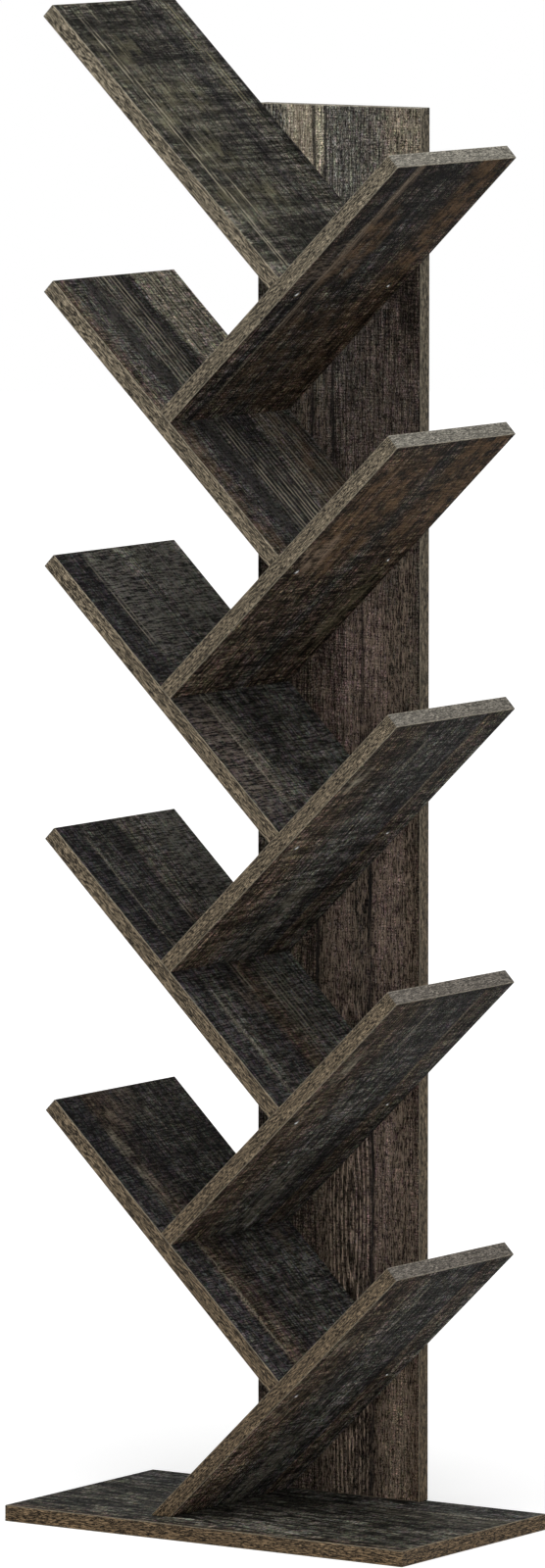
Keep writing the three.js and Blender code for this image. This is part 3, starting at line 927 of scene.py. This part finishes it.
LOOKS["panel", "front"] = dict(
    seed=21, tone=1, saw=0.45, fibre=0.62, pores=0.75, bands=0.1, streak=0.2, painted_light_along=(1, 1.5),
    mottle=0.12, flecks=0.4,
    planks=[(0, "slate"), (0.2, "slate"), (0.62, "charcoal"), (0.66, "plum"), (1, "plum")],
    stains_and_painted_light=[
        ("whole plum", 0.85, 0.2, 1, 0, 1), ("whole ash", 0.35, 0, 0.16, 0, 0.19),
        ("whole pale", 0.78, 0, 0.16, 0.18, 0.41), ("whole ash", 0.58, 0, 0.16, 0.42, 0.78),
        ("whole pale", 0.28, 0, 0.07, 0.79, 1), ("whole ash", 0.18, 0.16, 0.32, 0, 0.3),
        ("whole ash", 0.22, 0.5, 0.87, 0, 0.18), ("whole slate", 0.5, 0.16, 0.32, 0.3, 1),
        ("whole mauve", 0.28, 0.16, 0.32, 0.3, 1), ("whole mauve", 0.25, 0.34, 0.48, 0.36, 0.5),
        ("whole mauve", 0.9, 0.34, 0.48, 0.51, 0.8), ("whole slate", 0.25, 0.34, 0.48, 0.81, 1),
        ("whole mauve", 0.35, 0.5, 0.67, 0.45, 0.6), ("whole night", 0.65, 0.5, 0.67, 0.6, 0.69),
        ("whole mauve", 0.55, 0.5, 0.67, 0.7, 0.9), ("whole mauve", 0.6, 0.69, 0.87, 0.6, 0.84),
        ("whole mauve", 0.15, 0.69, 0.87, 0.84, 1), ("whole soot", 0.5, 0.88, 1, 0.6, 0.7),
        ("whole tan", 0.25, 0.88, 1, 0.79, 0.93), ("whole rust", 0.15, 0.88, 1, 0.93, 1),
        # The five soot stains in the panel's right part are painted shadows, just under each right shelf
        ("whole soot", 0.45, 0.09, 0.15, 0.6, 1), ("whole soot", 0.3, 0.25, 0.33, 0.6, 1),
        ("whole soot", 0.3, 0.45, 0.53, 0.6, 1), ("whole soot", 0.35, 0.64, 0.72, 0.6, 1),
        ("whole soot", 0.2, 0.84, 0.92, 0.6, 1)],
    marks=[
        ("dash pale", 0.95, 0, 0.16, 0.2, 0.41), ("whole tan", 0.25, 0, 0.16, 0.2, 0.34),
        ("dash pale", 0.9, 0, 0.16, 0, 0.2), ("whole soot", 0.85, 0, 0.16, 0.333, 0.354),
        ("whole soot", 0.85, 0, 0.17, 0.404, 0.424), ("dash ash", 0.45, 0, 0.16, 0.42, 0.78),
        ("dash pale", 0.6, 0, 0.08, 0.78, 0.99), ("dash tan", 0.85, 0.16, 0.28, 0.25, 0.45),
        ("dash tan", 0.3, 0.16, 0.3, 0.5, 0.98), ("whole soot", 0.9, 0.16, 0.3, 0.332, 0.355),
        ("whole soot", 0.8, 0.16, 0.32, 0.45, 0.472), ("dash tan", 1, 0.3, 0.5, 0.54, 0.98),
        ("whole soot", 0.65, 0.32, 0.5, 0.632, 0.65), ("dash tan", 0.95, 0.48, 1, 0.38, 0.98),
        ("whole soot", 0.95, 0.49, 0.66, 0.678, 0.702), ("whole soot", 0.9, 0.49, 0.66, 0.363, 0.386),
        ("whole soot", 0.9, 0.68, 0.99, 0.694, 0.718)],
    arches=[(0.8, 0.58, 30), (0.97, 0.58, 26)])
LOOKS["base", "top"] = dict(
    seed=31, tone=0.86, saw=0.5, fibre=0.8, pores=0.5, bands=0.15, mottle=0.4, wide=5,
    planks=[(0, "umber"), (0.1, "moss"), (0.74, "moss"), (0.8, "slate"), (1, "charcoal")],
    # The ash clouds over the middle of the base are painted light, lifting it where the shelves shade it
    stains_and_painted_light=[("clouds ash", 0.5, 0.34, 0.76, 0.04, 0.96), ("clouds night", 0.5, 0.8, 1, 0.58, 0.84)],
    marks=[("pores pale", 0.7, 0.62, 0.99, 0.765, 0.785), ("rows pale", 0.4, 0.72, 0.99, 0.6, 0.84)])
LOOKS["right_4", "under"] = dict(LOOKS["right_3", "under"], seed=14)
LOOKS["right_5", "under"] = dict(LOOKS["right_3", "under"], seed=15, painted_light_along=(0.9, 2.6))
LOOKS["panel", "back"] = dict(LOOKS["panel", "front"], seed=22)
# The underside copies the top's stains, with the painted light in its middle
LOOKS["base", "under"] = dict(LOOKS["base", "top"], seed=32, marks=[])


# How far the seed of a face that the photo doesn't show lies from its twin's
TWIN_SEED = 40


def look_of(board, face):
    """A board's own print, or for a face that the photo doesn't show one like its twin's."""
    if (board, face) in LOOKS:
        return LOOKS[board, face]
    number = board.split("_")[1]
    twin = LOOKS[("left_" if face == "top" else "right_") + number, face]
    return dict(twin, seed=twin["seed"] + TWIN_SEED)


# Operators

# How light the banding's print is: on the base and the left shelves, on the right shelves, where
# it grows from the highest one downwards, and on the panel, at the floor and at full height
EDGE_LIGHT = 0.86
RIGHT_EDGE_LIGHT = 0.75
RIGHT_EDGE_GAIN = 0.03
RIGHT_EDGE_LIMIT = 0.84
PANEL_EDGE_LIGHT = (0.98, 0.74)
# The roughness of a screw's oxide, and of its bare steel
OXIDE_ROUGHNESS = 0.42
BARE_ROUGHNESS = 0.40


def board_finish(board, faces, grain, size, edge_grain, edge_light):
    """A board's materials: a decor on each large face, its edge banding and its core."""
    return [*(decor(f"weathered_decor_{board}_{face}", grain, size, look_of(board, face))
              for face in faces),
            banding(f"pvc_edge_banding_{board}", edge_grain, edge_light),
            shared(particle_board, "raw_particle_board")]


def build_shelves(b, side):
    """Models, drills, dresses and hands over the shelves of one side."""
    left = side == "left"
    front = shelf_middle(b) - b.depth / 2
    blanks = {}
    for number in range(1, b.per_side + 1):
        lowest = not left and number == b.per_side
        long = shelf_length(b, lowest)
        if lowest not in blanks:
            blanks[lowest] = sawn_board("shelf_blank", (long, b.depth, b.thickness), b.arris,
                                        b.slope if lowest else 2 * b.slope)
        place = shelf_place(b, side, number)
        node = f"shelf_{side}_{number}"
        piece = copy_of(blanks[lowest], f"laminated_{node}", place)
        drill(piece, shelf_screws(side, number, b))
        along = place.to_3x3() @ Vector((1, 0, 0))
        grain = grain_frame((place.translation.x, front, place.translation.z), along, (0, 1, 0))
        # A right shelf's own frame is turned over, so its edges read the print from the back
        edge_grain = grain if left else grain_frame(
            (place.translation.x, shelf_middle(b) + b.depth / 2, place.translation.z),
            along, (0, -1, 0))
        edge_light = EDGE_LIGHT if left else min(
            RIGHT_EDGE_LIMIT, RIGHT_EDGE_LIGHT + RIGHT_EDGE_GAIN * (number - 1))
        finish(piece, board_finish(f"{side}_{number}", ("top", "under"), grain, (long, b.depth),
                                   edge_grain, (edge_light, edge_light)), BOARD_CREASE)
        hand_over(piece, node)
    for blank in blanks.values():
        remove(blank)


def build_screws(start_of_name, foot):
    """Models one screw and puts a copy in the place of every frame's screw of its kind."""
    names = sorted(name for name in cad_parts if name.startswith(start_of_name))
    if not names:
        raise RuntimeError(f"The frame has no {start_of_name}")
    model = model_screw("screw_model", foot)
    finish(model, [shared(screw_steel, "blackened_steel", "steel", OXIDE_ROUGHNESS),
                   shared(screw_steel, "worn_bright_steel", "worn", BARE_ROUGHNESS)],
           SCREW_CREASE)
    for node in names:
        hand_over(copy_of(model, f"socket_{node}", screw_place(node)), node)
    remove(model)


class BOOKSHELF_OT_base_board(bpy.types.Operator):
    """Adds the base board that the bookshelf stands on"""

    bl_idname = "bookshelf.base_board"
    bl_label = "Base Board"
    bl_options = {"REGISTER", "UNDO"}

    def execute(self, context):
        b = settings().boards
        piece = sawn_board("laminated_base_board", (b.base_width, b.base_depth, b.thickness),
                           b.arris)
        settle(piece, Matrix.Translation((-b.base_width / 2, 0, b.thickness)))
        drill(piece, BASE_TO_PANEL + BASE_TO_SHELF)
        grain = grain_frame((-b.base_width / 2, -b.base_depth / 2, b.thickness),
                            (1, 0, 0), (0, 1, 0))
        finish(piece, board_finish("base", ("top", "under"), grain, (b.base_width, b.base_depth),
                                   grain, (EDGE_LIGHT, EDGE_LIGHT)), BOARD_CREASE)
        hand_over(piece, "base_board")
        return {"FINISHED"}


class BOOKSHELF_OT_back_panel(bpy.types.Operator):
    """Adds the upright back panel that carries the shelves"""

    bl_idname = "bookshelf.back_panel"
    bl_label = "Back Panel"
    bl_options = {"REGISTER", "UNDO"}

    def execute(self, context):
        b = settings().boards
        top = panel_top(b)
        long = top - b.thickness - b.gap
        front = b.base_depth / 2 - b.thickness
        piece = sawn_board("laminated_back_panel", (long, b.panel_width, b.thickness), b.arris)
        settle(piece, Matrix.Translation((0, front, top)) @ Matrix((
            (0, 1, 0, 0), (0, 0, -1, 0), (-1, 0, 0, 0), (0, 0, 0, 1))))
        drill(piece, [f"panel_screw_{side}_{number}_{end}" for side in ("left", "right")
                      for number in range(1, b.per_side + 1) for end in ("upper", "lower")]
              + BASE_TO_PANEL)
        grain = grain_frame((-b.panel_width / 2, front, top), (0, 0, -1), (1, 0, 0))
        finish(piece, board_finish("panel", ("front", "back"), grain, (long, b.panel_width),
                                   grain, PANEL_EDGE_LIGHT), BOARD_CREASE)
        hand_over(piece, "back_panel")
        return {"FINISHED"}


class BOOKSHELF_OT_left_shelves(bpy.types.Operator):
    """Adds the five shelves whose upper ends are on the left"""

    bl_idname = "bookshelf.left_shelves"
    bl_label = "Left Shelves"
    bl_options = {"REGISTER", "UNDO"}

    def execute(self, context):
        build_shelves(settings().boards, "left")
        return {"FINISHED"}


class BOOKSHELF_OT_right_shelves(bpy.types.Operator):
    """Adds the five shelves whose upper ends are on the right"""

    bl_idname = "bookshelf.right_shelves"
    bl_label = "Right Shelves"
    bl_options = {"REGISTER", "UNDO"}

    def execute(self, context):
        build_shelves(settings().boards, "right")
        return {"FINISHED"}


class BOOKSHELF_OT_joint_screws(bpy.types.Operator):
    """Adds the screws that go through each shelf into the foot of the next one up"""

    bl_idname = "bookshelf.joint_screws"
    bl_label = "Joint Screws"
    bl_options = {"REGISTER", "UNDO"}

    def execute(self, context):
        build_screws("joint_screw", foot=False)
        return {"FINISHED"}


class BOOKSHELF_OT_panel_screws(bpy.types.Operator):
    """Adds the screws that go through the back panel into the shelves"""

    bl_idname = "bookshelf.panel_screws"
    bl_label = "Panel Screws"
    bl_options = {"REGISTER", "UNDO"}

    def execute(self, context):
        build_screws("panel_screw", foot=False)
        return {"FINISHED"}


class BOOKSHELF_OT_base_screws(bpy.types.Operator):
    """Adds the screws that go up through the base board into the panel and the lowest shelf"""

    bl_idname = "bookshelf.base_screws"
    bl_label = "Base Screws"
    bl_options = {"REGISTER", "UNDO"}

    def execute(self, context):
        build_screws("base_screw_panel", foot=False)
        build_screws("base_screw_foot", foot=True)
        return {"FINISHED"}


def seen_ray(tree):
    """1 on a ray that shows the surroundings themselves, 0 on one that lights the object."""
    path = add_node(tree, "LightPath")
    seen = path.outputs["Is Camera Ray"]
    for ray in ("Is Glossy Ray", "Is Transmission Ray"):
        seen = add_node(tree, "Math", {0: seen, 1: path.outputs[ray]}, operation="MAXIMUM")
    return seen


# The soft lamps: the setting with its power, its place, what it points at, and its diameter
LAMPS = (("key", (1.8, -2.0, 2.8), (0, 0, 0.9), 2.0),
         ("top", (0.3, -1.0, 3.2), (0, 0, 0.7), 2.4),
         ("fill", (2.1, -2.5, 0.5), (0, 0, 0.4), 2.0))


def soft_lamps(s):
    """Round soft lamps, each pointing at a target."""
    for key, at, target, diameter in LAMPS:
        bpy.ops.object.light_add(type="AREA", location=at)
        lamp = bpy.context.active_object
        lamp.name = key + "_lamp"
        lamp.data.shape = "DISK"
        lamp.data.size = diameter
        lamp.data.energy = getattr(s, key)
        way = Vector(target) - Vector(at)
        lamp.rotation_euler = way.to_track_quat("-Z", "Y").to_euler()


# The width of the camera's sensor in millimetres, and how far the camera sees in metres
SENSOR = 36
FARTHEST = 100


def photo_camera(s):
    """The camera at the photograph's angle."""
    way = Vector((-math.sin(s.turn) * math.cos(s.rise), math.cos(s.turn) * math.cos(s.rise),
                  -math.sin(s.rise)))
    bpy.ops.object.camera_add(location=Vector(s.aim) - way * s.distance)
    camera = bpy.context.active_object
    camera.name = "photo_camera"
    camera.rotation_euler = way.to_track_quat("-Z", "Y").to_euler()
    camera.data.lens = s.lens
    camera.data.sensor_width = SENSOR
    camera.data.sensor_fit = "AUTO"
    camera.data.clip_end = FARTHEST
    bpy.context.scene.camera = camera


# The round floor: its sides and its radius, and how its own glow grows from one distance from
# the bookshelf to another, so that it shows white there and dims only under the shadow
FLOOR_SIDES = 96
FLOOR_RADIUS = 14
GLOW_FROM, GLOW_TO = 0.3, 2.2
GLOW_NEAR, GLOW_FAR = 0.53, 0.85


def studio_floor(s):
    """A pale floor that shows white, and keeps the shadow that falls on it near the bookshelf."""
    deselect_all()
    bpy.ops.mesh.primitive_circle_add(vertices=FLOOR_SIDES, radius=FLOOR_RADIUS,
                                      fill_type="NGON")
    floor = start("studio_floor")
    material, tree = new_material("pale_studio_floor")
    here = add_node(tree, "TexCoord").outputs["Object"]
    away = add_node(tree, "VectorMath", {0: here}, operation="LENGTH")
    lift = add_node(tree, "MapRange", {
        "Value": away, "From Min": GLOW_FROM, "From Max": GLOW_TO, "To Min": GLOW_NEAR,
        "To Max": GLOW_FAR})
    lift = add_node(tree, "Math", {0: seen_ray(tree), 1: lift}, operation="MULTIPLY")
    matt = add_node(tree, "BsdfDiffuse", {"Color": s.floor})
    glow = add_node(tree, "Emission", {"Strength": lift})
    both = add_node(tree, "AddShader", {0: matt, 1: glow})
    add_node(tree, "OutputMaterial", {"Surface": both})
    floor.data.materials.append(material)


def white_room(s):
    """An even room that the camera sees as white and that lights the object at a plain level."""
    world = bpy.data.worlds.new("white_room")
    world.use_nodes = True
    tree = world.node_tree
    tree.nodes.clear()
    strength = add_node(tree, "MapRange", {
        "Value": seen_ray(tree), "To Min": s.sky, "To Max": 1.0})
    light = add_node(tree, "Background", {"Color": (1, 1, 1, 1), "Strength": strength})
    add_node(tree, "OutputWorld", {"Surface": light})
    bpy.context.scene.world = world


class BOOKSHELF_OT_stage(bpy.types.Operator):
    """Adds the floor, the lamps, the white surroundings and the camera"""

    bl_idname = "bookshelf.stage"
    bl_label = "Stage"
    bl_options = {"REGISTER", "UNDO"}

    def execute(self, context):
        s = settings().stage
        context.scene.view_settings.view_transform = "Standard"
        studio_floor(s)
        white_room(s)
        soft_lamps(s)
        photo_camera(s)
        return {"FINISHED"}


class BOOKSHELF_PT_sidebar(bpy.types.Panel):
    """The bookshelf's steps, sizes and colours"""

    bl_label = "Tree Bookshelf"
    bl_idname = "BOOKSHELF_PT_sidebar"
    bl_space_type = "VIEW_3D"
    bl_region_type = "UI"
    bl_category = "Bookshelf"

    def draw(self, context):
        kit = context.scene.tree_bookshelf
        for operator in STEPS:
            self.layout.operator(operator.bl_idname)
        for group in (kit.boards, kit.screws, kit.colours, kit.stage):
            column = self.layout.column()
            for key in group.bl_rna.properties.keys():
                if key not in ("rna_type", "name"):
                    column.prop(group, key)


STEPS = (BOOKSHELF_OT_stage, BOOKSHELF_OT_base_board, BOOKSHELF_OT_back_panel,
         BOOKSHELF_OT_left_shelves, BOOKSHELF_OT_right_shelves, BOOKSHELF_OT_joint_screws,
         BOOKSHELF_OT_panel_screws, BOOKSHELF_OT_base_screws)
CLASSES = (BoardSizes, ScrewSizes, DecorColours, StageSettings, BookshelfSettings, *STEPS,
           BOOKSHELF_PT_sidebar)


def register():
    for item in CLASSES:
        bpy.utils.register_class(item)
    bpy.types.Scene.tree_bookshelf = PointerProperty(type=BookshelfSettings)


def unregister():
    del bpy.types.Scene.tree_bookshelf
    for item in reversed(CLASSES):
        bpy.utils.unregister_class(item)


def main():
    """Builds the stage and every piece."""
    register()
    for operator in STEPS:
        group, name = operator.bl_idname.split(".")
        if getattr(getattr(bpy.ops, group), name)() != {"FINISHED"}:
            raise RuntimeError(f"{operator.bl_label} was not made")


if __name__ == "__main__":
    main()
